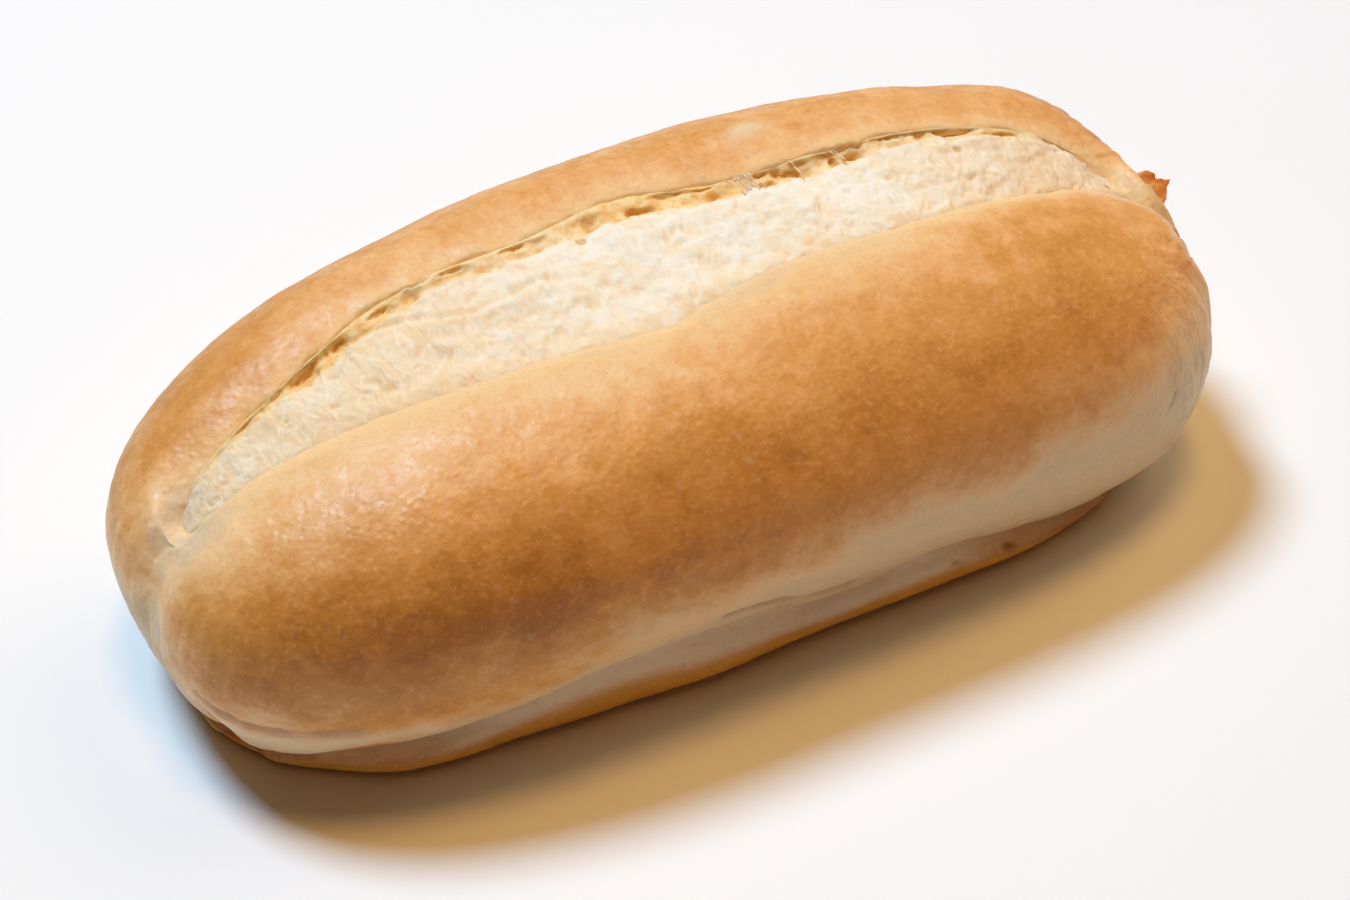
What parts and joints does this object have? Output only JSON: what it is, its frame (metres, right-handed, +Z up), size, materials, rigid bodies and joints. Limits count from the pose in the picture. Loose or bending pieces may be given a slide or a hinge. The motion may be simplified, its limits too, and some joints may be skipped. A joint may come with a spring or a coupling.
{
  "type": "split top hoagie roll",
  "caption": "Long white bread roll with a domed golden crust split along the top, showing pale open crumb between its lobes, on a flat baked bottom.",
  "frame": {"origin": "centre of the bounding box in plan, on the flat underside that the roll rests on", "axes": "+X along the roll to its right end in the picture, -Y towards the front lobe, +Z up"},
  "size_m": [0.1538, 0.0736, 0.0483],
  "materials": {
    "crust": "dry golden brown baked crust, matte with a faint sheen, paler low down and cream white crumb in the split"
  },
  "bodies": {
    "root": {"roll": "crust"}
  },
  "joints": []
}
